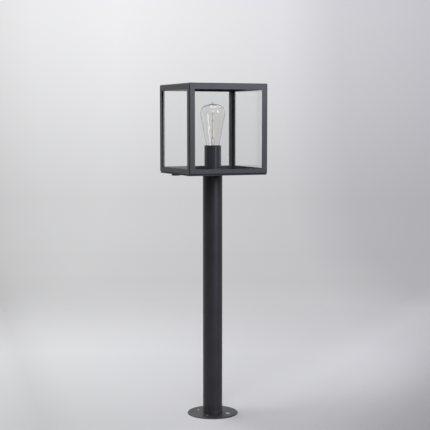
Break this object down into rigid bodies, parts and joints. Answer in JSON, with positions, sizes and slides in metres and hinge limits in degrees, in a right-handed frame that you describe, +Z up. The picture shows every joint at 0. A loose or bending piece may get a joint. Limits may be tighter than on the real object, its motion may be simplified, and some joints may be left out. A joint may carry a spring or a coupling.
{
  "type": "outdoor post light",
  "caption": "Outdoor post light: a square glazed lantern with a flat roof and a clear pear-shaped bulb, on a round post with a bolt-down foot.",
  "frame": {"origin": "middle of the foot's underside, on the ground", "axes": "+Z up along the post, +X to the right along the front of the lantern, -Y out of its front pane"},
  "size_m": [0.2108, 0.21, 0.85],
  "materials": {
    "black_coat": "satin",
    "pane_glass": "polished",
    "bulb_clear": "polished",
    "black_rubber": "matte",
    "zinc_steel": "satin",
    "yellow_brass": "satin",
    "nickel_cap": "satin",
    "white_porcelain": "gloss",
    "black_moulding": "matte",
    "yellow_phosphor": "matte"
  },
  "bodies": {
    "root": {"base_plate": "black_coat", "post_spigot": "black_coat", "post_tube": "black_coat", "head_plate": "black_coat", "tray": "black_coat", "holder_cup": "black_coat", "cable_grommet": "black_rubber", "tray_gasket": "black_rubber", "tray_screws": "zinc_steel", "post_grub_screws": "zinc_steel", "earth_screw": "zinc_steel", "earth_washer": "zinc_steel", "nipple_nut": "zinc_steel", "threaded_nipple": "yellow_brass", "screw_shell": "yellow_brass", "centre_contact": "yellow_brass", "terminal_screws": "yellow_brass", "contact_insert": "white_porcelain", "lampholder_cap": "black_moulding", "lampholder_body": "black_moulding"},
    "cage": {"bottom_frame": "black_coat", "roof_cap": "black_coat", "corner_post_front_left": "black_coat", "corner_post_front_right": "black_coat", "corner_post_back_right": "black_coat", "corner_post_back_left": "black_coat", "pane_front": "pane_glass", "pane_right": "pane_glass", "pane_back": "pane_glass", "pane_left": "pane_glass", "glazing_tapes": "black_rubber", "glazing_clips": "black_coat", "weld_nuts": "black_coat"},
    "thumb_left": {"thumb_screw_left": "black_coat"},
    "thumb_right": {"thumb_screw_right": "black_coat"},
    "bulb_foot": {"bulb_insulator": "black_moulding", "bulb_contact": "nickel_cap"},
    "bulb": {"bulb_glass": "bulb_clear", "bulb_cap": "nickel_cap", "bulb_stem": "bulb_clear", "filament_support": "zinc_steel", "filaments": "yellow_phosphor"}
  },
  "joints": [
    {"name": "cage_lift", "type": "slide", "parent": "root", "child": "cage", "axis": [0, 0, 1], "range_m": [0, 0.22]},
    {"name": "thumb_left_turn", "type": "hinge", "parent": "root", "child": "thumb_left", "pos_m": [-0.0945, 0.015, 0.621], "axis": [0, 0, 1], "continuous": true},
    {"name": "thumb_right_turn", "type": "hinge", "parent": "root", "child": "thumb_right", "pos_m": [0.0945, 0.015, 0.621], "axis": [0, 0, 1], "continuous": true},
    {"name": "bulb_rise", "type": "slide", "parent": "root", "child": "bulb_foot", "axis": [0, 0, 1], "range_m": [0, 0.0182]},
    {"name": "bulb_turn", "type": "hinge", "parent": "bulb_foot", "child": "bulb", "pos_m": [0, 0, 0.677], "axis": [0, 0, 1], "range_deg": [0, 1800]}
  ],
  "couplings": [
    {"joint": "bulb_rise", "follows": "bulb_turn", "m_per_rad": 0.0005775}
  ]
}
